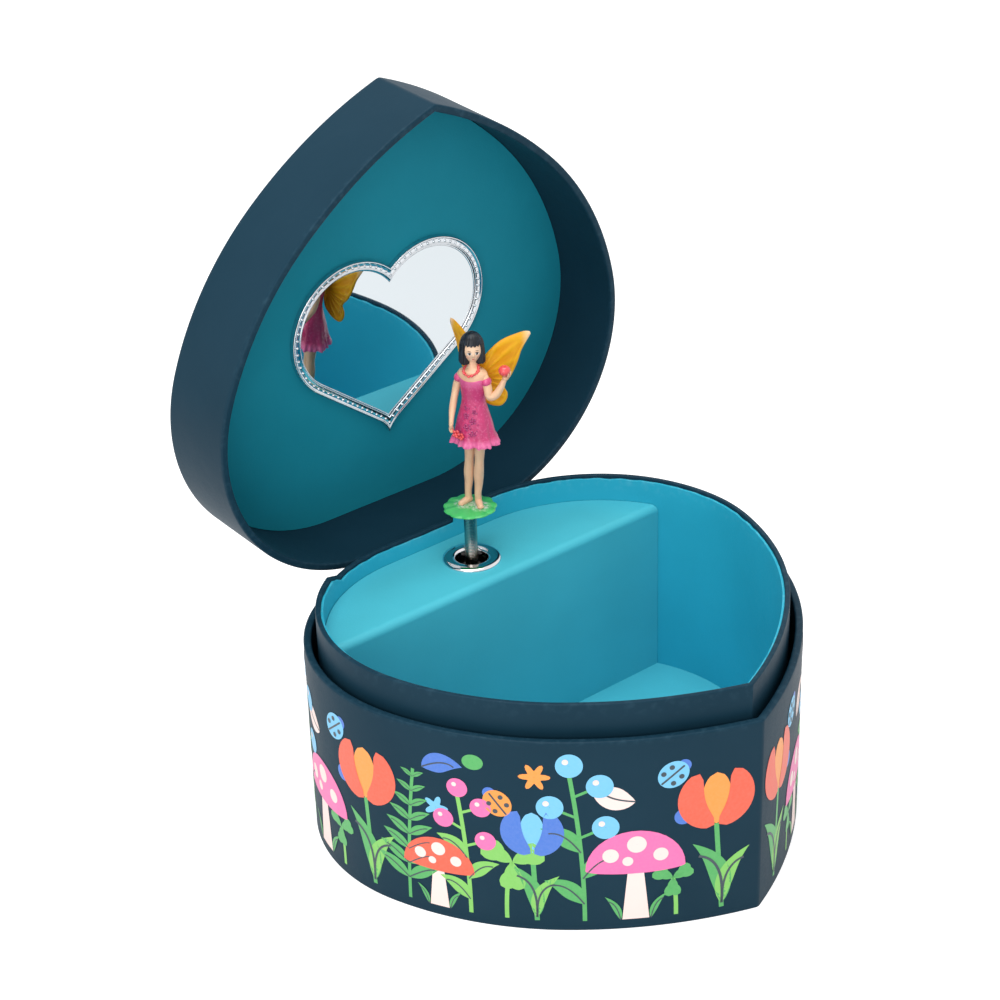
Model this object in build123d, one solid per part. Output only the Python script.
from build123d import *
import os
from math import acos, atan2, cos, degrees, pi, radians, sin, sqrt

# Wind-up music box: a leaf-shaped, paper-covered card box with a hinged lid.
# Frame: millimetres, +Z up, +Y towards the hinge at the back, +X to the right.
# The origin is the middle of the base's footprint, on the surface it stands on.
# Every part is drawn at rest: lid open against its paper hinge, figure upright.

# --- Plan outline, at the outer face of the wall -----------------------------
BOX_WIDTH = 160.0                      # across the widest part
BOX_DEPTH = BOX_WIDTH * 0.94375        # hinge edge to front tip
BACK_FLAT = BOX_WIDTH * 0.275          # straight run of the hinge edge
CORNER_SWEEP = 106.0                   # degrees turned by each rounded back corner
SHOULDER_RADIUS = BOX_WIDTH * 0.64375  # arc between the back corner and the front side
SHOULDER_SWEEP = 31.0                  # degrees turned by that arc
TIP_RADIUS = 2.4                       # rounding of the front tip
TIP_INNER_RADIUS = 0.4                 # least rounding on inner faces of the tip

# --- Boards of the base ------------------------------------------------------
WALL = 2.4                 # wrapped board of the outer wall and of the lid
COLLAR_GAP = 1.8           # space between outer wall and collar
COLLAR_WALL = 1.6          # board of the collar
LINING = 0.8               # coloured card inside the collar
BASE_HEIGHT = 66.0         # outer wall
COLLAR_RISE = 10.0         # collar above the outer wall
BASE_BOARD = 2.4           # bottom board
TRAY_FLOOR = 2.0           # inner floor board
FLOOR_LINING = 1.0         # card on the floor
LINING_DROP = 1.0          # lining stops below the collar's top
HINGE_CUT_DROP = 3.0       # collar and lining cut lower in front of the hinge
HINGE_CUT_LEFT = 47.0      # the cut's reach to the left of the middle
HINGE_CUT_RIGHT = 6.0      # and to the right
EDGE_SOFT = 0.6            # paper-wrapped edges

# --- Cover over the movement -------------------------------------------------
DECK_DROP = 9.0            # deck below the collar's top
COVER_ROOM = 13.4          # spindle's axis to the partition's inner face
COVER_CARD = 1.6
COVER_FOLD = 2.4           # outer radius of the fold between deck and partition
CARD_FIT = 0.2             # slack round loose cards

# --- Lid ---------------------------------------------------------------------
LID_DEPTH = 28.0           # outer height of the closed lid
LID_OPEN_ANGLE = 85.0      # where the paper hinge stops it
LID_PANEL = 2.4
LID_LINING = 0.5
LID_EDGE_SOFT = 0.9
LID_SEAT = 0.2             # wrapping paper between the rims

# --- Paper hinge -------------------------------------------------------------
HINGE_PAPER = 0.3
HINGE_LEAF = 16.0          # height of each pasted leaf
HINGE_CREASE = 0.4         # bare paper each side of the crease

# --- Heart mirror ------------------------------------------------------------
MIRROR_WIDTH = 77.2        # outside of its frame
MIRROR_HEIGHT = 65.4
MIRROR_FROM_HINGE = 28.6   # frame's tip to the lid's hinge edge
MIRROR_ASIDE = 2.0         # stuck on this far to the right of the middle
HEART_NOTCH = 6.0          # depth of the notch between its lobes
HEART_HOLLOW = 12.0        # radius of the hollow curve from each side to the tip
HEART_TIP_LEAN = 22.0      # degrees from the heart's axis to each side at the tip
MIRROR_FRAME_BAND = 3.6
MIRROR_FRAME_THICK = 2.0
MIRROR_LIP = 1.2           # frame's overlap on the glass
MIRROR_LIP_THICK = 0.9
MIRROR_GLASS_THICK = 0.8

# --- Ring in the deck --------------------------------------------------------
RING_DIAMETER = 19.2
RING_BORE = 10.6
RING_HEIGHT = 1.2
RING_SLEEVE_WALL = 0.6

# --- Movement: plate, spring and great wheel ---------------------------------
PLATE_THICK = 2.0
PLATE_LEFT = 25.0          # from the key's axis to each side edge
PLATE_RIGHT = 22.5
PLATE_DROP = 2.4           # deck's underside to the plate's upper edge
PLATE_MARGIN = 2.1         # plate beyond the upper bracket
PLATE_CORNER = 3.0
BARREL_GAP = 0.5           # lower bracket to the barrel
BARREL_DIAMETER = 25.0
BARREL_DEPTH = 7.2
BARREL_WALL = 0.8
SPRING_STRIP = 0.35        # thickness of the mainspring's strip
SPRING_TURNS = 6
SPRING_INNER_RADIUS = 3.4
RUN_GAP = 0.05             # radial clearance of turning shafts
END_GAP = 0.6              # clearance beside turning wheels
ARBOR_DIAMETER = 4.4
ARBOR_TAP = 2.6            # threaded bore in the arbor, for the key's stem
ARBOR_TAP_DEPTH = 7.0
GREAT_TEETH = 36
GREAT_DISC = 1.6
GREAT_TOOTH_RUN = 1.8      # radial length of its face teeth
GREAT_RIM = 0.4            # disc beyond the teeth
MODULE = 0.55              # tooth size of the great wheel and its pinion

# --- Movement: cylinder ------------------------------------------------------
PINION_TEETH = 12
PINION_LENGTH = 2.6
CYLINDER_DIAMETER = 13.4
CYLINDER_LENGTH = 15.6
CYLINDER_SHELL = 0.7
CYLINDER_ARBOR = 2.2
PIN_DIAMETER = 0.45
PIN_HEIGHT = 0.6
PINS_PER_TRACK = 4
PIN_STEP = 47.0            # degrees from one track's pins to the next
GEAR_TEETH = 36
GEAR_THICK = 1.4
GEAR_MODULE = 0.6
SECOND_TEETH = 12
ARM_THICK = 2.0            # brackets that carry the cylinder
ARM_WIDTH = 7.0
ARM_NOSE = 3.4             # bracket beyond the cylinder's axis

# --- Movement: comb ----------------------------------------------------------
COMB_TEETH = 18
COMB_PITCH = 0.82
COMB_SLOT = 0.22
COMB_THICK = 0.8
COMB_TIP_GAP = 0.25        # pins pass the tips by this much
COMB_SHORT_TOOTH = 5.6
COMB_LONG_TOOTH = 9.0
COMB_HEEL = 5.0
COMB_SCREW = 1.6
COMB_SCREW_HEAD = 3.0

# --- Movement: governor ------------------------------------------------------
SECOND_ARBOR = 1.4
WORM_WHEEL_TEETH = 12
WORM_WHEEL_PITCH_RADIUS = 4.5
WORM_WHEEL_THICK = 1.6
WORM_WHEEL_DROP = 5.0      # pinion's underside to the worm wheel's
WORM_PITCH_RADIUS = 1.5
WORM_CREST = 0.45          # thread above the pitch line
WORM_ROOT = 0.75           # and below it
WORM_THREAD = 0.7          # axial width of the thread
WORM_TURNS = 3
WORM_SHAFT = 1.0
FAN_SPAN = 8.6
FAN_LENGTH = 4.0
FAN_THICK = 0.4
FAN_FROM_PLATE = 2.0
FRAME_SHEET = 1.5          # governor's frame
FRAME_LEDGE = 7.0
FRAME_PILLAR = 3.0
TOOTH_WIDTH = 0.4          # share of the pitch, so that meshed teeth run free

# --- Screws, key and eyelet --------------------------------------------------
SCREW_DIAMETER = 2.4
SCREW_HEAD = 5.2
SCREW_HEAD_HEIGHT = 1.2
SCREW_HOLE = 3.0           # through the boards
SCREW_SPREAD_X = 40.0
SCREW_LOW = 4.0            # lower screws above the plate's lower edge
SCREW_SPREAD_Z = 26.0
KEY_STEM_REACH = 5.0       # stem between the wall and the key's hub
KEY_HUB = 6.0
KEY_HUB_LENGTH = 5.0
KEY_SPAN = 26.0
KEY_BLADE_DEPTH = 13.0
KEY_BLADE_THICK = 1.6
KEY_FINGER_HOLE = 3.6
EYELET_BORE = 5.4
EYELET_FLANGE = 11.0
EYELET_WALL = 0.6
EYELET_FLANGE_THICK = 0.7

# --- Spindle: a close-wound spring that bends as the lid closes --------------
CUP_DIAMETER = 6.6
CUP_HEIGHT = 3.0
CUP_FLOOR = 1.0
SPRING_DIAMETER = 4.2
SPRING_BORE = 3.1
SPRING_FREE = 16.0         # spring above the ring, up to the leaf
BEND_DROP = 7.6            # leaf's underside to the middle of the bend
SPRING_SPLIT = 0.4         # gap each side of the coils at the middle of the bend
BEND_COILS = 1.2           # length of those coils

# --- Figure: a fairy on a leaf; heights are above the leaf's underside -------
FIGURE_TURN = -67.0        # degrees about the spindle from facing the front tip
LEAF_RADIUS = 8.7
LEAF_LOBES = 11
LEAF_LOBE_RADIUS = 2.1
LEAF_THICK = 2.6
BODY_X = 1.6               # the body stands off the spindle's axis
BODY_Y = 2.2
FOOT_LENGTH = 5.0
FOOT_WIDTH = 2.3
FOOT_HEIGHT = 2.4
FEET_TURN = (-38.0, 25.0)  # degrees that each foot points outwards
LEG_SPREAD = 3.5           # between the middles of the legs
ANKLE_RADIUS = 1.2
CALF_RADIUS = 1.6
KNEE_RADIUS = 1.5
ANKLE_HEIGHT = 6.6
CALF_HEIGHT = 13.0
KNEE_HEIGHT = 17.8
HEM_HEIGHT = 24.6
HIP_HEIGHT = 32.0
WAIST_HEIGHT = 38.6
BUST_HEIGHT = 45.4
BODICE_HEIGHT = 47.2
HEM_WIDTH = 15.4
HIP_WIDTH = 11.6
WAIST_WIDTH = 7.8
BUST_WIDTH = 9.0
BODY_FLATNESS = 0.8        # front-to-back over side-to-side
SHOULDER_HEIGHT = 48.6
NECK_HEIGHT = 50.6
NECK_RADIUS = 1.4
HEAD_HEIGHT = 55.6         # middle of the head
HEAD_WIDTH = 6.4
HEAD_LENGTH = 8.8
HAIR_THICK = 0.7
HAIR_LENGTH = 8.6          # top of the hair to its cut ends
FRINGE_DROP = 3.8          # top of the hair to the fringe
ARM_RADIUS = 1.0
HAND_RADIUS = 1.05
HAND_FORWARD = 6.6         # hanging hand in front of the body's middle
ELBOW_OUT = 1.6            # its elbow beside and in front of the shoulder
FRUIT_RADIUS = 1.9
FLOWER_RADIUS = 1.7
STEM_RADIUS = 0.3
WING_THICK = 1.0
WING_SWEEP = 31.0          # degrees that each wing sweeps back
WING_REACH = 16.8
WING_LOW = 34.0            # height of the wings' lower edge
WING_RISE = 24.8           # lower edge to the upper tips

# --- Places worked out from the sizes ----------------------------------------
BACK_Y = BOX_DEPTH / 2
COLLAR_OUT = WALL + COLLAR_GAP
COLLAR_IN = COLLAR_OUT + COLLAR_WALL
LINING_IN = COLLAR_IN + LINING
COLLAR_TOP = BASE_HEIGHT + COLLAR_RISE
TRAY_TOP = BASE_BOARD + TRAY_FLOOR
FLOOR_TOP = TRAY_TOP + FLOOR_LINING
DECK_TOP = COLLAR_TOP - DECK_DROP
RING_TOP = DECK_TOP + RING_HEIGHT
LID_LOW = BASE_HEIGHT + LID_SEAT
HINGE = Axis((0, BACK_Y, BASE_HEIGHT + LID_SEAT / 2), (1, 0, 0))

PLATE_FRONT = LINING_IN + PLATE_THICK
KEY_RISE = ARM_THICK + BARREL_GAP + BARREL_DIAMETER / 2
GEAR_RISE = KEY_RISE + BARREL_DIAMETER / 2 + END_GAP
UPPER_ARM_RISE = GEAR_RISE + GEAR_THICK + END_GAP + CYLINDER_LENGTH + END_GAP
PLATE_HEIGHT = UPPER_ARM_RISE + ARM_THICK + PLATE_MARGIN
PLATE_Z = DECK_TOP - COVER_CARD - PLATE_DROP - PLATE_HEIGHT
KEY_Z = PLATE_Z + KEY_RISE
GREAT_PITCH_RADIUS = GREAT_TEETH * MODULE / 2
PINION_PITCH_RADIUS = PINION_TEETH * MODULE / 2
BARREL_FRONT = PLATE_FRONT + BARREL_DEPTH
GREAT_BACK = BARREL_FRONT + END_GAP
GREAT_FRONT = GREAT_BACK + GREAT_DISC
TOOTH_HEIGHT = 2.1 * MODULE
SPINDLE_DEPTH = GREAT_FRONT + TOOTH_HEIGHT - MODULE * 0.8 + PINION_PITCH_RADIUS
SPINDLE_Y = BACK_Y - SPINDLE_DEPTH
COVER_FRONT = SPINDLE_DEPTH + COVER_ROOM + COVER_CARD

PINION_Z = KEY_Z + GREAT_PITCH_RADIUS - PINION_LENGTH / 2
GEAR_Z = PLATE_Z + GEAR_RISE
GEAR_TOP = GEAR_Z + GEAR_THICK
CYLINDER_Z = GEAR_TOP + END_GAP
CYLINDER_TOP = CYLINDER_Z + CYLINDER_LENGTH
LOWER_ARM_TOP = PINION_Z - END_GAP
UPPER_ARM_Z = PLATE_Z + UPPER_ARM_RISE
CUP_Z = UPPER_ARM_Z + ARM_THICK + END_GAP
CENTRE_DISTANCE = (GEAR_TEETH + SECOND_TEETH) * GEAR_MODULE / 2
WORM_WHEEL_Z = GEAR_Z - WORM_WHEEL_DROP - WORM_WHEEL_THICK
WORM_X = -CENTRE_DISTANCE - WORM_WHEEL_PITCH_RADIUS - WORM_PITCH_RADIUS
WORM_Z = WORM_WHEEL_Z + WORM_WHEEL_THICK / 2
WORM_PITCH = 2 * pi * WORM_WHEEL_PITCH_RADIUS / WORM_WHEEL_TEETH
FRAME_FRONT = SPINDLE_DEPTH + WORM_PITCH * WORM_TURNS / 2 + 2 * FRAME_SHEET + END_GAP

LEAF_Z = RING_TOP + SPRING_FREE
FOLD_Z = LEAF_Z - BEND_DROP
FOLD_Y = SPINDLE_Y - SPRING_DIAMETER / 2


def polar(radius, angle):
    """Point at a radius and an angle in degrees."""
    return (radius * cos(radians(angle)), radius * sin(radians(angle)))


# --- Outline -----------------------------------------------------------------
def arc_to_point(join, normal_angle, end):
    """Radius and centre of the arc that leaves a join square to a normal and ends at a point."""
    inward = Vector(*polar(-1, normal_angle))
    span = end - join
    radius = span.dot(span) / (2 * span.dot(inward))
    return radius, join + inward * radius


def outline(inset):
    """Plan of the box, set in from the outer face: a flat, then arcs to the tip."""
    corner_radius = (BOX_WIDTH - BACK_FLAT) / 2
    corner = Vector(BACK_FLAT / 2, BACK_Y - corner_radius)
    corner_end = 90 - CORNER_SWEEP
    shoulder_end = corner_end - SHOULDER_SWEEP
    shoulder = corner + Vector(*polar(corner_radius - SHOULDER_RADIUS, corner_end))
    join = shoulder + Vector(*polar(SHOULDER_RADIUS, shoulder_end))
    side_radius, side = arc_to_point(join, shoulder_end, Vector(0, -BACK_Y))
    tip_radius = max(TIP_RADIUS - inset, TIP_INNER_RADIUS)
    reach = side_radius - inset - tip_radius
    tip = Vector(0, side.Y - sqrt(reach**2 - side.X**2))
    side_end = degrees(atan2(tip.Y - side.Y, tip.X - side.X))
    half = Curve() + [
        Line((0, BACK_Y - inset), (BACK_FLAT / 2, BACK_Y - inset)),
        CenterArc(corner, corner_radius - inset, 90, -CORNER_SWEEP),
        CenterArc(shoulder, SHOULDER_RADIUS - inset, corner_end, -SHOULDER_SWEEP),
        CenterArc(side, side_radius - inset, shoulder_end, side_end - shoulder_end),
        CenterArc(tip, tip_radius, side_end, -90 - side_end),
    ]
    return make_face((half + mirror(half, Plane.YZ)).edges())


def slab(inset, low, high):
    """Board of the box's plan between two heights."""
    return Pos(0, 0, low) * extrude(outline(inset), high - low)


def ring_wall(outer, inner, low, high):
    """Wall that follows the plan, between two insets and two heights."""
    return Pos(0, 0, low) * extrude(outline(outer) - outline(inner), high - low)


def block(x, y, z):
    """Box from its (low, high) pairs."""
    size = Box(x[1] - x[0], y[1] - y[0], z[1] - z[0], align=(Align.MIN, Align.MIN, Align.MIN))
    return Pos(x[0], y[0], z[0]) * size


def from_back(depth):
    """Plane that faces the front, at a depth in from the outer wall's back face."""
    return Plane(origin=(0, BACK_Y - depth, 0), x_dir=(1, 0, 0), z_dir=(0, -1, 0))


def rod(x, z, radius, start, end):
    """Round rod along Y, from one depth to a deeper one."""
    return extrude(from_back(start) * Pos(x, z) * Circle(radius), end - start)


def post(x, y, radius, low, high):
    """Round rod along Z."""
    return Pos(x, y, low) * extrude(Circle(radius), high - low)


# --- Base --------------------------------------------------------------------
def screw_places():
    """Places of the four screws that hold the movement, as (x, z)."""
    low = PLATE_Z + SCREW_LOW
    return [
        (side * SCREW_SPREAD_X / 2, low + row * SCREW_SPREAD_Z)
        for side in (-1, 1)
        for row in (0, 1)
    ]


def back_holes(key_radius):
    """Holes through the back boards for the key and the four screws."""
    holes = [rod(0, KEY_Z, key_radius, -WALL, PLATE_FRONT)]
    holes += [rod(x, z, SCREW_HOLE / 2, -WALL, PLATE_FRONT) for x, z in screw_places()]
    return holes


def hinge_cut():
    """Block that lowers the collar and its lining in front of the hinge."""
    depth = (BOX_WIDTH - BACK_FLAT) / 4
    low = COLLAR_TOP - HINGE_CUT_DROP
    cut = block(
        (-HINGE_CUT_LEFT, HINGE_CUT_RIGHT),
        (BACK_Y - depth, BACK_Y),
        (low, COLLAR_TOP + COLLAR_RISE),
    )
    return cut


def make_base():
    """Card box: bottom, outer wall, collar tray, linings and the movement's cover."""
    wall = ring_wall(0, WALL, 0, BASE_HEIGHT)
    rim = wall.edges().group_by(Axis.Z)[-1]
    wall = fillet(rim, EDGE_SOFT)
    eyelet_hole = EYELET_BORE / 2 + EYELET_WALL
    collar = ring_wall(COLLAR_OUT, COLLAR_IN, BASE_BOARD, COLLAR_TOP)
    lining_top = COLLAR_TOP - LINING_DROP
    lining = ring_wall(COLLAR_IN, LINING_IN, TRAY_TOP, lining_top)
    lining_cut = Pos(0, 0, -LINING_DROP) * hinge_cut()
    plate_x = (-PLATE_LEFT, PLATE_RIGHT)
    spacer_y = (BACK_Y - COLLAR_OUT, BACK_Y - WALL)
    spacer = block(plate_x, spacer_y, (BASE_BOARD, BASE_HEIGHT - COLLAR_GAP))
    spacer = spacer & ring_wall(WALL, COLLAR_OUT, BASE_BOARD, BASE_HEIGHT)
    return {
        "base_board": slab(WALL, 0, BASE_BOARD),
        "base_wall": wall - back_holes(eyelet_hole),
        "collar_wall": collar - hinge_cut() - back_holes(eyelet_hole),
        "wall_spacer": spacer - back_holes(eyelet_hole),
        "tray_floor": slab(COLLAR_IN, BASE_BOARD, TRAY_TOP),
        "wall_lining": lining - lining_cut - back_holes(eyelet_hole),
        "floor_lining": slab(LINING_IN, TRAY_TOP, FLOOR_TOP),
        "compartment_cover": make_cover(),
        "spindle_ring": make_ring(),
    }


def make_cover():
    """Folded card: a deck over the movement and a partition down to the floor."""
    front = BACK_Y - COVER_FRONT
    wide = (-BOX_WIDTH, BOX_WIDTH)
    outer = block(wide, (front, BACK_Y), (FLOOR_TOP, DECK_TOP))
    fold = outer.edges().filter_by(Axis.X).group_by(Axis.Z)[-1].sort_by(Axis.Y)[0]
    outer = fillet(fold, COVER_FOLD)
    hollow_y = front + COVER_CARD
    hollow = block(wide, (hollow_y, 2 * BACK_Y), (0, DECK_TOP - COVER_CARD))
    inner_fold = hollow.edges().filter_by(Axis.X).group_by(Axis.Z)[-1].sort_by(Axis.Y)[0]
    hollow = fillet(inner_fold, COVER_FOLD - COVER_CARD)
    room = slab(LINING_IN + CARD_FIT, 0, COLLAR_TOP)
    sleeve = RING_BORE / 2 + RING_SLEEVE_WALL
    return (outer - hollow) & room - post(0, SPINDLE_Y, sleeve, 0, COLLAR_TOP)


def make_ring():
    """Turned ring that trims the spindle's hole: rounded flange and short sleeve."""
    bore = RING_BORE / 2
    outer = RING_DIAMETER / 2
    crown = (outer + bore) / 2
    flange = Pos(crown, 0) * Ellipse((outer - bore) / 2, RING_HEIGHT)
    above = Pos(crown, RING_HEIGHT / 2) * Rectangle(outer - bore, RING_HEIGHT)
    sleeve = Pos(bore + RING_SLEEVE_WALL / 2, -COVER_CARD / 2 + RING_HEIGHT / 4)
    sleeve = sleeve * Rectangle(RING_SLEEVE_WALL, COVER_CARD + RING_HEIGHT / 2)
    profile = Plane.XZ * ((flange & above) + sleeve)
    return Pos(0, SPINDLE_Y, DECK_TOP) * revolve(profile, Axis.Z)


# --- Lid ---------------------------------------------------------------------
def heart(inset):
    """Heart with its tip at the origin, set in from the mirror frame's outside.
    Each half is a lobe, a straight side that touches it, and a hollow curve to the tip."""
    half_width = MIRROR_WIDTH / 2
    lobe_radius = half_width + HEART_NOTCH - sqrt(2 * half_width * HEART_NOTCH)
    lobe = Vector(half_width - lobe_radius, MIRROR_HEIGHT - lobe_radius)
    hollow = Vector(*polar(HEART_HOLLOW, -HEART_TIP_LEAN))
    between = lobe - hollow
    lean = acos((lobe_radius + HEART_HOLLOW) / between.length)
    side_normal = degrees(atan2(between.Y, between.X) + lean)
    radius = lobe_radius - inset
    hollow_radius = HEART_HOLLOW + inset
    notch = sqrt(radius**2 - lobe.X**2)
    tip = sqrt(hollow_radius**2 - hollow.X**2)
    lobe_end = degrees(atan2(notch, -lobe.X))
    tip_end = degrees(atan2(tip, -hollow.X))
    side_top = lobe - Vector(*polar(radius, side_normal))
    side_foot = hollow + Vector(*polar(hollow_radius, side_normal))
    half = Curve() + [
        CenterArc(lobe, radius, lobe_end, side_normal - 180 - lobe_end),
        Line(side_top, side_foot),
        CenterArc(hollow, hollow_radius, side_normal, tip_end - side_normal),
    ]
    return make_face((half + mirror(half, Plane.YZ)).edges())


def make_mirror(lining_low):
    """Heart mirror on the lid's lining: channel frame, glass and mounting tape."""
    place = Pos(MIRROR_ASIDE, BACK_Y - MIRROR_FROM_HINGE, 0) * Rot(0, 0, 180)
    opening = heart(MIRROR_FRAME_BAND)
    pocket = heart(MIRROR_FRAME_BAND - MIRROR_LIP)
    glass = heart(MIRROR_FRAME_BAND - MIRROR_LIP + CARD_FIT / 2)
    frame_low = lining_low - MIRROR_FRAME_THICK
    glass_low = frame_low + MIRROR_LIP_THICK
    tape_low = glass_low + MIRROR_GLASS_THICK
    frame = Pos(0, 0, frame_low) * extrude(heart(0) - opening, MIRROR_FRAME_THICK)
    frame -= Pos(0, 0, glass_low) * extrude(pocket, MIRROR_FRAME_THICK)
    return {
        "mirror_frame": place * frame,
        "mirror_glass": place * Pos(0, 0, glass_low) * extrude(glass, MIRROR_GLASS_THICK),
        "mirror_tape": place * Pos(0, 0, tape_low) * extrude(opening, lining_low - tape_low),
    }


def make_lid():
    """Lid drawn closed, then opened: wall, top panel, lining, mirror and hinge leaf."""
    top = BASE_HEIGHT + LID_DEPTH
    panel_low = top - LID_PANEL
    lining_low = panel_low - LID_LINING
    shell = fillet(slab(0, LID_LOW, top).edges().group_by(Axis.Z)[-1], LID_EDGE_SOFT)
    leaf_x = (-BACK_FLAT / 2, BACK_FLAT / 2)
    crease = LID_LOW + HINGE_CREASE
    closed = {
        "lid_wall": shell - slab(WALL, LID_LOW, top),
        "lid_panel": slab(WALL, panel_low, top),
        "lid_lining": slab(WALL + CARD_FIT, lining_low, panel_low),
        "hinge_leaf_lid": block(leaf_x, (BACK_Y, BACK_Y + HINGE_PAPER), (crease, crease + HINGE_LEAF)),
    }
    closed.update(make_mirror(lining_low))
    return {name: shape.rotate(HINGE, -LID_OPEN_ANGLE) for name, shape in closed.items()}


# --- Movement: fixed parts ---------------------------------------------------
def make_plate():
    """Bedplate against the back boards, with the shelf that carries the comb."""
    plate = extrude(
        from_back(LINING_IN)
        * Pos((PLATE_RIGHT - PLATE_LEFT) / 2, PLATE_Z + PLATE_HEIGHT / 2)
        * RectangleRounded(PLATE_LEFT + PLATE_RIGHT, PLATE_HEIGHT, PLATE_CORNER),
        PLATE_THICK,
    )
    plate = plate & slab(LINING_IN, 0, COLLAR_TOP)
    root = comb_tip() + COMB_LONG_TOOTH
    shelf_y = (SPINDLE_Y + COMB_THICK / 2, BACK_Y - PLATE_FRONT)
    plate += block((root, root + COMB_HEEL), shelf_y, comb_heights())
    plate -= rod(0, KEY_Z, ARBOR_DIAMETER / 2 + RUN_GAP, 0, PLATE_FRONT)
    plate -= rod(WORM_X, WORM_Z, WORM_SHAFT / 2 + RUN_GAP, 0, PLATE_FRONT)
    plate -= [rod(x, z, SCREW_DIAMETER / 2, 0, PLATE_FRONT) for x, z in screw_places()]
    return plate - comb_screw_shanks()


def make_barrel():
    """Spring housing on the plate: a shallow cup round the mainspring."""
    outer = rod(0, KEY_Z, BARREL_DIAMETER / 2, PLATE_FRONT, BARREL_FRONT)
    inner_radius = BARREL_DIAMETER / 2 - BARREL_WALL
    inner = rod(0, KEY_Z, inner_radius, PLATE_FRONT, BARREL_FRONT - BARREL_WALL)
    return outer - inner - rod(0, KEY_Z, ARBOR_DIAMETER / 2 + RUN_GAP, 0, BARREL_FRONT)


def make_mainspring():
    """Flat strip wound in half turns about two centres, clear of its housing."""
    room = BARREL_DIAMETER / 2 - BARREL_WALL - SPRING_INNER_RADIUS - SPRING_STRIP - 2 * RUN_GAP
    step = room / SPRING_TURNS
    shift = step / 4
    plane = from_back(PLATE_FRONT + END_GAP / 2)
    upper = Pos(0, BARREL_DIAMETER / 2) * Rectangle(2 * BARREL_DIAMETER, BARREL_DIAMETER)
    lower = Pos(0, -BARREL_DIAMETER / 2) * Rectangle(2 * BARREL_DIAMETER, BARREL_DIAMETER)
    strip = Sketch()
    for half_turn in range(2 * SPRING_TURNS):
        radius = SPRING_INNER_RADIUS + half_turn * step / 2
        centre = shift if half_turn % 2 == 0 else -shift
        coil = Circle(radius + SPRING_STRIP) - Circle(radius)
        side = upper if half_turn % 2 == 0 else lower
        strip += (Pos(centre, 0) * coil) & side
    return extrude(plane * Pos(0, KEY_Z) * strip, BARREL_DEPTH - BARREL_WALL - END_GAP)


def make_brackets():
    """Two brackets that carry the cylinder's arbor below and above."""
    x = (-ARM_WIDTH / 2, ARM_WIDTH / 2)
    nose = SPINDLE_Y - ARM_NOSE
    bore = CYLINDER_ARBOR / 2 + RUN_GAP
    plate_y = BACK_Y - PLATE_FRONT
    lower = block(x, (nose, plate_y), (PLATE_Z, PLATE_Z + ARM_THICK))
    lower += block(x, (nose, nose + ARM_THICK), (PLATE_Z, LOWER_ARM_TOP))
    ledge = (nose, SPINDLE_Y + CYLINDER_ARBOR)
    lower += block(x, ledge, (LOWER_ARM_TOP - ARM_THICK, LOWER_ARM_TOP))
    upper = block(x, (nose, plate_y), (UPPER_ARM_Z, UPPER_ARM_Z + ARM_THICK))
    hole = post(0, SPINDLE_Y, bore, LOWER_ARM_TOP - ARM_THICK, COLLAR_TOP)
    return {"lower_bracket": lower - hole, "upper_bracket": upper - hole}


def comb_tip():
    """Distance of the comb's tips from the cylinder's axis."""
    return CYLINDER_DIAMETER / 2 + PIN_HEIGHT + COMB_TIP_GAP


def comb_heights():
    """Lower and upper edge of the comb, centred on the cylinder."""
    middle = (CYLINDER_Z + CYLINDER_TOP) / 2
    half = COMB_TEETH * COMB_PITCH / 2
    return (middle - half, middle + half)


def comb_screw_shanks():
    """Shanks of the comb's screws, through its heel and into the shelf."""
    x = comb_tip() + COMB_LONG_TOOTH + COMB_HEEL / 2
    low, high = comb_heights()
    start = SPINDLE_DEPTH - COMB_THICK - COMB_HEEL / 2
    end = SPINDLE_DEPTH + COMB_THICK / 2
    quarter = (high - low) / 4
    return [rod(x, z, COMB_SCREW / 2, start, end) for z in (low + quarter, high - quarter)]


def make_comb():
    """Steel comb whose teeth lengthen towards its lower end, and its two screws."""
    low, high = comb_heights()
    depths = (SPINDLE_Y - COMB_THICK / 2, SPINDLE_Y + COMB_THICK / 2)
    root = comb_tip() + COMB_LONG_TOOTH
    comb = block((comb_tip(), root + COMB_HEEL), depths, (low, high))
    slots = []
    for tooth in range(COMB_TEETH):
        share = tooth / (COMB_TEETH - 1)
        length = COMB_LONG_TOOTH + (COMB_SHORT_TOOTH - COMB_LONG_TOOTH) * share
        z = low + (tooth + 1) * COMB_PITCH
        slots.append(block((0, comb_tip() + length), depths, (z - COMB_SLOT, z)))
    comb -= slots
    shanks = comb_screw_shanks()
    front = SPINDLE_DEPTH + COMB_THICK / 2
    heads = [
        rod(root + COMB_HEEL / 2, shank.center().Z, COMB_SCREW_HEAD / 2, front, front + COMB_THICK)
        for shank in shanks
    ]
    screws = Part() + [shank + head for shank, head in zip(shanks, heads)]
    return {"comb": comb - shanks, "comb_screws": screws}


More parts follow.
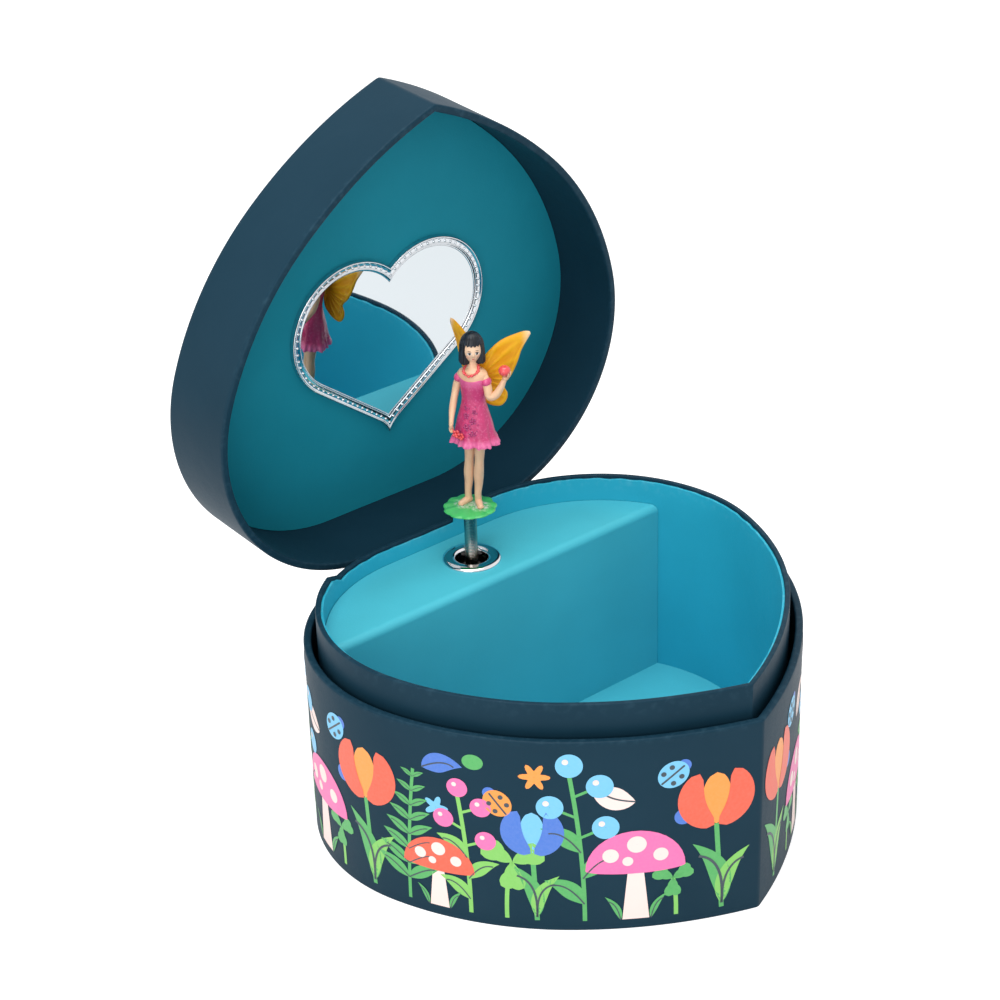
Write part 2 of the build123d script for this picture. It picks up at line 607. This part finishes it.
def make_governor_frame():
    """Sheet frame that carries the second arbor and the front of the worm's shaft."""
    x_low = WORM_X - FRAME_LEDGE / 2
    x_high = -CENTRE_DISTANCE + FRAME_LEDGE / 2
    low = WORM_Z - FAN_SPAN / 2 - END_GAP - FRAME_PILLAR
    high = GEAR_TOP + END_GAP + FRAME_SHEET
    front = BACK_Y - FRAME_FRONT
    frame = block((x_low, x_high), (front, front + FRAME_SHEET), (low, high))
    ledge_x = (x_high - FRAME_LEDGE, x_high)
    ledge_y = (front, SPINDLE_Y + SECOND_ARBOR)
    lower_top = WORM_WHEEL_Z - END_GAP
    frame += block(ledge_x, ledge_y, (lower_top - FRAME_SHEET, lower_top))
    frame += block(ledge_x, ledge_y, (high - FRAME_SHEET, high))
    pillar_x = (x_low, x_low + FRAME_PILLAR)
    for z in (low, high - FRAME_PILLAR):
        frame += block(pillar_x, (front, BACK_Y - PLATE_FRONT), (z, z + FRAME_PILLAR))
    frame -= post(-CENTRE_DISTANCE, SPINDLE_Y, SECOND_ARBOR / 2 + RUN_GAP, low, high)
    return frame - rod(WORM_X, WORM_Z, WORM_SHAFT / 2 + RUN_GAP, SPINDLE_DEPTH, FRAME_FRONT)


def make_fastenings():
    """Four movement screws from the back, and the eyelet round the key's stem."""
    screws = Part()
    for x, z in screw_places():
        screws += rod(x, z, SCREW_DIAMETER / 2, 0, PLATE_FRONT)
        screws += rod(x, z, SCREW_HEAD / 2, -SCREW_HEAD_HEIGHT, 0)
    tube = rod(0, KEY_Z, EYELET_BORE / 2 + EYELET_WALL, 0, LINING_IN)
    flange = rod(0, KEY_Z, EYELET_FLANGE / 2, -EYELET_FLANGE_THICK, 0)
    eyelet = tube + flange - rod(0, KEY_Z, EYELET_BORE / 2, -EYELET_FLANGE_THICK, LINING_IN)
    low = BASE_HEIGHT - HINGE_CREASE - HINGE_LEAF
    leaf_x = (-BACK_FLAT / 2, BACK_FLAT / 2)
    leaf = block(leaf_x, (BACK_Y, BACK_Y + HINGE_PAPER), (low, low + HINGE_LEAF))
    return {"movement_screws": screws, "key_eyelet": eyelet, "hinge_leaf_base": leaf}


# --- Movement: turning parts -------------------------------------------------
def gear_face(teeth, pitch_radius, half_turned):
    """Gear outline with straight-sided teeth; half_turned puts a gap at angle 0."""
    module = 2 * pitch_radius / teeth
    tip, root = pitch_radius + 0.8 * module, pitch_radius - 1.1 * module
    pitch = pi * module
    wide, narrow = pitch * (TOOTH_WIDTH + 0.1), pitch * (TOOTH_WIDTH - 0.1)
    corners = [
        (root - module / 2, -wide / 2),
        (tip, -narrow / 2),
        (tip, narrow / 2),
        (root - module / 2, wide / 2),
    ]
    tooth = make_face(Polyline(*corners, close=True))
    turn = 180 / teeth if half_turned else 0
    places = [Rot(0, 0, turn + 360 * i / teeth) for i in range(teeth)]
    return Circle(root) + [place * tooth for place in places]


def make_great_wheel():
    """Great wheel: a disc whose face teeth point to the front and drive the pinion."""
    outer = GREAT_PITCH_RADIUS + GREAT_TOOTH_RUN / 2
    wheel = rod(0, KEY_Z, outer + GREAT_RIM, GREAT_BACK, GREAT_FRONT)
    pitch = pi * MODULE
    wide, narrow = pitch * (TOOTH_WIDTH + 0.1), pitch * (TOOTH_WIDTH - 0.1)
    corners = [
        (-wide / 2, -MODULE / 2),
        (wide / 2, -MODULE / 2),
        (narrow / 2, TOOTH_HEIGHT),
        (-narrow / 2, TOOTH_HEIGHT),
    ]
    section = Plane(origin=(0, outer - GREAT_TOOTH_RUN, 0), x_dir=(1, 0, 0), z_dir=(0, 1, 0))
    profile = section * mirror(make_face(Polyline(*corners, close=True)), Plane.XZ)
    tooth = extrude(profile, GREAT_TOOTH_RUN)
    face = Plane(origin=(0, BACK_Y - GREAT_FRONT, KEY_Z), x_dir=(1, 0, 0), z_dir=(0, -1, 0))
    wheel += [face * Rot(0, 0, 360 * i / GREAT_TEETH) * tooth for i in range(GREAT_TEETH)]
    return wheel - rod(0, KEY_Z, ARBOR_DIAMETER / 2, 0, SPINDLE_DEPTH)


def make_key():
    """Winding key behind the box, its arbor through the spring, and the great wheel."""
    arbor = rod(0, KEY_Z, ARBOR_DIAMETER / 2, LINING_IN + RUN_GAP, GREAT_FRONT + MODULE)
    tap = rod(0, KEY_Z, ARBOR_TAP / 2, 0, LINING_IN + ARBOR_TAP_DEPTH)
    stem = rod(0, KEY_Z, ARBOR_TAP / 2, -KEY_STEM_REACH, LINING_IN + ARBOR_TAP_DEPTH)
    hub_end = -KEY_STEM_REACH - KEY_HUB_LENGTH
    hub = rod(0, KEY_Z, KEY_HUB / 2, hub_end, -KEY_STEM_REACH)
    plane = Plane(origin=(0, BACK_Y, KEY_Z), x_dir=(1, 0, 0), z_dir=(0, 0, 1))
    wing = KEY_SPAN / 2 - KEY_BLADE_DEPTH / 2
    blade = Rectangle(2 * wing, KEY_HUB)
    for side in (-1, 1):
        eye = Pos(side * wing, 0)
        blade += eye * Circle(KEY_BLADE_DEPTH / 2)
        blade -= eye * Circle(KEY_FINGER_HOLE / 2)
    blade_at = plane * Pos(0, KEY_BLADE_DEPTH / 2 - hub_end - KEY_HUB / 2, -KEY_BLADE_THICK / 2)
    key = stem + hub + extrude(blade_at * blade, KEY_BLADE_THICK)
    return {"winding_key": key, "key_arbor": arbor - tap, "great_wheel": make_great_wheel()}


def make_drum():
    """Music cylinder: a closed thin drum with rows of pins on a stepped pattern."""
    radius = CYLINDER_DIAMETER / 2
    inner = radius - CYLINDER_SHELL
    drum = post(0, 0, radius, 0, CYLINDER_LENGTH)
    drum -= post(0, 0, inner, CYLINDER_SHELL, CYLINDER_LENGTH - CYLINDER_SHELL)
    drum -= post(0, 0, CYLINDER_ARBOR / 2, 0, CYLINDER_LENGTH)
    first = (CYLINDER_LENGTH - (COMB_TEETH - 1) * COMB_PITCH) / 2 - COMB_SLOT / 2
    pin = Rot(0, 90, 0) * extrude(Circle(PIN_DIAMETER / 2), radius + PIN_HEIGHT)
    pin -= post(0, 0, radius - CYLINDER_SHELL / 2, -PIN_DIAMETER, PIN_DIAMETER)
    pins = []
    for track in range(COMB_TEETH):
        for count in range(PINS_PER_TRACK):
            angle = track * PIN_STEP + count * 360 / PINS_PER_TRACK
            pins.append(Pos(0, 0, first + track * COMB_PITCH) * Rot(0, 0, angle) * pin)
    return Pos(0, SPINDLE_Y, CYLINDER_Z) * (drum + pins)


def make_cylinder():
    """Cylinder on its arbor, with pinion, gear, cup and the spring's lower coils."""
    arbor_low = LOWER_ARM_TOP - ARM_THICK
    arbor_radius = CYLINDER_ARBOR / 2
    arbor = post(0, SPINDLE_Y, arbor_radius, arbor_low, CUP_Z + CUP_FLOOR)
    pinion = extrude(Rot(0, 0, 90) * gear_face(PINION_TEETH, PINION_PITCH_RADIUS, True), PINION_LENGTH)
    gear = extrude(gear_face(GEAR_TEETH, GEAR_TEETH * GEAR_MODULE / 2, False), GEAR_THICK)
    cup = post(0, SPINDLE_Y, CUP_DIAMETER / 2, CUP_Z, CUP_Z + CUP_HEIGHT)
    cup -= post(0, SPINDLE_Y, SPRING_DIAMETER / 2, CUP_Z + CUP_FLOOR, CUP_Z + CUP_HEIGHT)
    return {
        "cylinder_arbor": arbor,
        "cylinder_pinion": Pos(0, SPINDLE_Y, PINION_Z) * pinion - arbor,
        "cylinder_gear": Pos(0, SPINDLE_Y, GEAR_Z) * gear - arbor,
        "music_cylinder": make_drum(),
        "spindle_cup": cup - arbor,
        "spring_lower": coils(CUP_Z + CUP_FLOOR, FOLD_Z - BEND_COILS / 2 - SPRING_SPLIT),
    }


def make_second():
    """Second arbor: a pinion on the cylinder's gear and the wheel that turns the worm."""
    lower_top = WORM_WHEEL_Z - END_GAP
    top = GEAR_TOP + END_GAP + FRAME_SHEET
    place = Pos(-CENTRE_DISTANCE, SPINDLE_Y, 0)
    arbor = place * post(0, 0, SECOND_ARBOR / 2, lower_top - FRAME_SHEET, top)
    pinion = extrude(gear_face(SECOND_TEETH, SECOND_TEETH * GEAR_MODULE / 2, True), GEAR_THICK)
    wheel_face = gear_face(WORM_WHEEL_TEETH, WORM_WHEEL_PITCH_RADIUS, False)
    return {
        "second_arbor": arbor,
        "second_pinion": place * Pos(0, 0, GEAR_Z) * pinion - arbor,
        "worm_wheel": place * Pos(0, 0, WORM_WHEEL_Z) * extrude(wheel_face, WORM_WHEEL_THICK) - arbor,
    }


def make_worm():
    """Worm shaft along Y with a right-hand thread, and the fan that slows it."""
    root = WORM_PITCH_RADIUS - WORM_ROOT
    length = WORM_TURNS * WORM_PITCH
    half = length / 2 + WORM_THREAD
    core = rod(WORM_X, WORM_Z, root, SPINDLE_DEPTH - half, SPINDLE_DEPTH + half)
    shaft = rod(WORM_X, WORM_Z, WORM_SHAFT / 2, LINING_IN + RUN_GAP, FRAME_FRONT)
    path = Helix(WORM_PITCH, length, root)
    profile = Plane(origin=path @ 0, x_dir=(1, 0, 0), z_dir=path % 0) * thread_profile()
    thread = sweep(profile, path, is_frenet=True)
    place = Pos(WORM_X, SPINDLE_Y, WORM_Z) * Rot(-90, 0, 0) * Pos(0, 0, -length / 2)
    fan_start = PLATE_FRONT + FAN_FROM_PLATE
    fan_x = (WORM_X - FAN_SPAN / 2, WORM_X + FAN_SPAN / 2)
    fan_y = (BACK_Y - fan_start - FAN_LENGTH, BACK_Y - fan_start)
    fan = block(fan_x, fan_y, (WORM_Z - FAN_THICK / 2, WORM_Z + FAN_THICK / 2))
    fan += rod(WORM_X, WORM_Z, WORM_SHAFT, fan_start, fan_start + FAN_LENGTH)
    return {"worm": core + shaft + place * thread, "fan": fan - shaft}


def thread_profile():
    """Section of the worm's thread, from inside its core to its crest."""
    wide, narrow = WORM_THREAD, WORM_THREAD / 2
    sunk = WORM_ROOT / 4
    crest = WORM_ROOT + WORM_CREST
    corners = [(-sunk, -wide / 2), (crest, -narrow / 2), (crest, narrow / 2), (-sunk, wide / 2)]
    return make_face(Polyline(*corners, close=True))


def coils(low, high):
    """Stretch of the close-wound spring, as the sleeve that its coils fill."""
    sleeve = post(0, SPINDLE_Y, SPRING_DIAMETER / 2, low, high)
    return sleeve - post(0, SPINDLE_Y, SPRING_BORE / 2, low, high)


# --- Figure ------------------------------------------------------------------
def limb(stations):
    """Smooth round limb through (x, y, height, radius) stations."""
    points = [Vector(x, y, z) for x, y, z, _ in stations]
    sections = []
    for i, (point, station) in enumerate(zip(points, stations)):
        before = points[max(i - 1, 0)]
        after = points[min(i + 1, len(points) - 1)]
        sections.append(Plane(origin=point, z_dir=after - before) * Circle(station[3]))
    return loft(sections)


def oval(x, y, height, width, depth, length):
    """Ellipsoid with its middle at a point and its three full sizes."""
    return Pos(x, y, height) * scale(Sphere(0.5), (width, depth, length))


def make_leaf():
    """Leaf that the figure stands on: a lobed disc over a smaller boss."""
    half = LEAF_THICK / 2
    disc = Circle(LEAF_RADIUS - LEAF_LOBE_RADIUS / 3)
    lobe = Pos(LEAF_RADIUS - LEAF_LOBE_RADIUS, 0) * Circle(LEAF_LOBE_RADIUS)
    disc += [Rot(0, 0, 360 * i / LEAF_LOBES) * lobe for i in range(LEAF_LOBES)]
    boss = Cone(LEAF_RADIUS / 2, LEAF_RADIUS - LEAF_LOBE_RADIUS, half)
    return Pos(0, 0, half / 2) * boss + Pos(0, 0, half) * extrude(disc, half)


def make_leg(side):
    """Bare leg and foot; side is -1 for the figure's right and 1 for its left."""
    foot_turn = FEET_TURN[0] if side < 0 else FEET_TURN[1]
    shift = side * LEG_SPREAD / 2
    ankle_x, ankle_y = BODY_X / 2 + shift, BODY_Y / 2
    leg = limb([
        (ankle_x, ankle_y, LEAF_THICK + FOOT_HEIGHT / 2, ANKLE_RADIUS),
        (ankle_x, ankle_y, ANKLE_HEIGHT, ANKLE_RADIUS),
        (BODY_X * 0.6 + shift, BODY_Y * 0.7, CALF_HEIGHT, CALF_RADIUS),
        (BODY_X * 0.8 + shift, BODY_Y * 0.8, KNEE_HEIGHT, KNEE_RADIUS),
        (BODY_X + shift, BODY_Y, HEM_HEIGHT, CALF_RADIUS),
    ])
    reach = FOOT_LENGTH / 2 - ANKLE_RADIUS
    foot = oval(0, -reach, 0, FOOT_WIDTH, FOOT_LENGTH, 2 * FOOT_HEIGHT)
    foot = Pos(ankle_x, ankle_y, LEAF_THICK) * Rot(0, 0, foot_turn) * foot
    under = Pos(0, 0, LEAF_THICK - FOOT_HEIGHT) * Cylinder(2 * LEAF_RADIUS, 2 * FOOT_HEIGHT)
    return leg + foot - under


def body_section(height, width):
    """Oval section of the body at a height."""
    return Pos(BODY_X, BODY_Y, height) * Ellipse(width / 2, width * BODY_FLATNESS / 2)


def make_dress():
    """Off-the-shoulder dress: flared skirt and fitted bodice."""
    skirt = loft([
        body_section(HEM_HEIGHT, HEM_WIDTH),
        body_section(HIP_HEIGHT, HIP_WIDTH),
        body_section(WAIST_HEIGHT, WAIST_WIDTH),
    ])
    bodice = loft([
        body_section(WAIST_HEIGHT, WAIST_WIDTH),
        body_section(BUST_HEIGHT, BUST_WIDTH),
        body_section(BODICE_HEIGHT, BUST_WIDTH),
    ])
    return skirt + bodice


def make_head():
    """Head, and the bob of hair with a fringe that leaves the face clear."""
    head = oval(BODY_X, BODY_Y, HEAD_HEIGHT, HEAD_WIDTH, HEAD_WIDTH, HEAD_LENGTH)
    width = HEAD_WIDTH + 2 * HAIR_THICK
    length = HEAD_LENGTH + 2 * HAIR_THICK
    hair_y = BODY_Y + HAIR_THICK
    hair = oval(BODY_X, hair_y, HEAD_HEIGHT + HAIR_THICK, width, width, length)
    top = HEAD_HEIGHT + HAIR_THICK + length / 2
    hair -= block((-BOX_WIDTH, BOX_WIDTH), (-BOX_WIDTH, BOX_WIDTH), (0, top - HAIR_LENGTH))
    face_x = (BODY_X - HEAD_WIDTH * 0.42, BODY_X + HEAD_WIDTH * 0.42)
    hair -= block(face_x, (-BOX_WIDTH, BODY_Y - HAIR_THICK), (0, top - FRINGE_DROP))
    return head, hair - head


def make_torso():
    """Bare shoulders and neck above the dress."""
    width = BUST_WIDTH
    shoulders = loft([
        body_section(BODICE_HEIGHT, width * 0.98),
        body_section(SHOULDER_HEIGHT, width * 0.88),
        body_section(NECK_HEIGHT, 2 * NECK_RADIUS),
    ])
    middle = (NECK_HEIGHT + HEAD_HEIGHT) / 2
    return shoulders + Pos(BODY_X, BODY_Y, middle) * Cylinder(NECK_RADIUS, HEAD_HEIGHT - NECK_HEIGHT)


def make_arm(stations):
    """Arm through its stations, with a rounded hand at its end."""
    x, y, z, _ = stations[-1]
    return limb(stations) + Pos(x, y, z) * Sphere(HAND_RADIUS)


def make_wing(side):
    """Butterfly wing, upper and lower lobe in one leaf, swept back from the spine."""
    def at(reach, rise):
        return (reach * WING_REACH, WING_LOW + rise * WING_RISE)

    root_low, notch, tip, root_high = at(0, 0.16), at(0.48, 0.28), at(1, 0.99), at(0, 0.6)
    edge = Curve() + [
        Spline([root_low, at(0.17, 0.04), at(0.38, 0), at(0.54, 0.15), notch]),
        Spline([notch, at(0.6, 0.39), at(0.74, 0.6), at(0.82, 0.76), tip]),
        Spline([tip, at(0.8, 1), at(0.43, 0.9), at(0.14, 0.72), root_high]),
        Line(root_high, root_low),
    ]
    back = BODY_Y + BUST_WIDTH * BODY_FLATNESS / 2
    sweep_back = radians(WING_SWEEP)
    along = (cos(sweep_back), sin(sweep_back), 0)
    across = (sin(sweep_back), -cos(sweep_back), 0)
    wing = extrude(Plane(origin=(0, back, 0), x_dir=along, z_dir=across) * make_face(edge.edges()), -WING_THICK)
    if side < 0:
        wing = mirror(wing, Plane.YZ)
    return Pos(BODY_X, 0, 0) * wing


def make_figure():
    """Fairy on the spring: figure and what it holds, placed over the spindle."""
    dress, torso = make_dress(), make_torso()
    head, hair = make_head()
    shoulder = BUST_WIDTH / 2
    hand_at = (BODY_X - shoulder - 0.3, BODY_Y - HAND_FORWARD, HIP_HEIGHT)
    hanging = make_arm([
        (BODY_X - shoulder, BODY_Y, BODICE_HEIGHT, ARM_RADIUS),
        (BODY_X - shoulder - ELBOW_OUT, BODY_Y - ELBOW_OUT, WAIST_HEIGHT + 1.0, ARM_RADIUS),
        (*hand_at, ARM_RADIUS * 0.8),
    ])
    raised = make_arm([
        (BODY_X + shoulder, BODY_Y, BODICE_HEIGHT, ARM_RADIUS),
        (BODY_X + shoulder + 1.0, BODY_Y - 0.8, WAIST_HEIGHT + 1.4, ARM_RADIUS),
        (BODY_X + shoulder + 3.4, BODY_Y + 0.2, WAIST_HEIGHT + 3.4, ARM_RADIUS * 0.9),
        (BODY_X + shoulder + 6.4, BODY_Y + 1.3, BODICE_HEIGHT - 0.2, ARM_RADIUS * 0.8),
    ])
    fruit = Pos(BODY_X + shoulder + 5.8, BODY_Y + 1.0, BODICE_HEIGHT + 2.5) * Sphere(FRUIT_RADIUS)
    flower_at = (BODY_X - 2.8, BODY_Y - HAND_FORWARD + 0.3, HIP_HEIGHT - 3.1)
    stem = limb([(*hand_at, STEM_RADIUS), (*flower_at, STEM_RADIUS)])
    flower = Pos(*flower_at) * Sphere(FLOWER_RADIUS) + stem
    skin = torso - head - hair
    parts = {
        "leaf_stand": make_leaf(),
        "right_leg": make_leg(-1) - dress,
        "left_leg": make_leg(1) - dress,
        "dress": dress,
        "torso": skin,
        "right_arm": hanging - dress - skin,
        "left_arm": raised - dress - skin,
        "head": head,
        "hair": hair,
        "right_wing": make_wing(-1) - dress - skin - make_wing(1),
        "left_wing": make_wing(1) - dress - skin,
        "fruit": fruit - raised,
        "flower": flower - dress - hanging,
    }
    place = Pos(0, SPINDLE_Y, LEAF_Z) * Rot(0, 0, FIGURE_TURN)
    figure = {name: place * shape for name, shape in parts.items()}
    half = BEND_COILS / 2
    figure["spring_bend"] = coils(FOLD_Z - half, FOLD_Z + half)
    figure["spring_upper"] = coils(FOLD_Z + half + SPRING_SPLIT, LEAF_Z)
    return figure


# --- Assembly ----------------------------------------------------------------
def make_movement():
    """Fixed and turning parts of the movement, between the plate and the partition."""
    movement = {
        "bedplate": make_plate(),
        "spring_housing": make_barrel(),
        "mainspring": make_mainspring(),
        "governor_frame": make_governor_frame(),
    }
    for group in (make_brackets, make_comb, make_fastenings, make_key):
        movement.update(group())
    for group in (make_cylinder, make_second, make_worm):
        movement.update(group())
    return movement


parts = {}
for section in (make_base, make_lid, make_movement, make_figure):
    parts.update(section())

os.makedirs("parts", exist_ok=True)
for name, shape in parts.items():
    export_step(shape, f"parts/{name}.step")
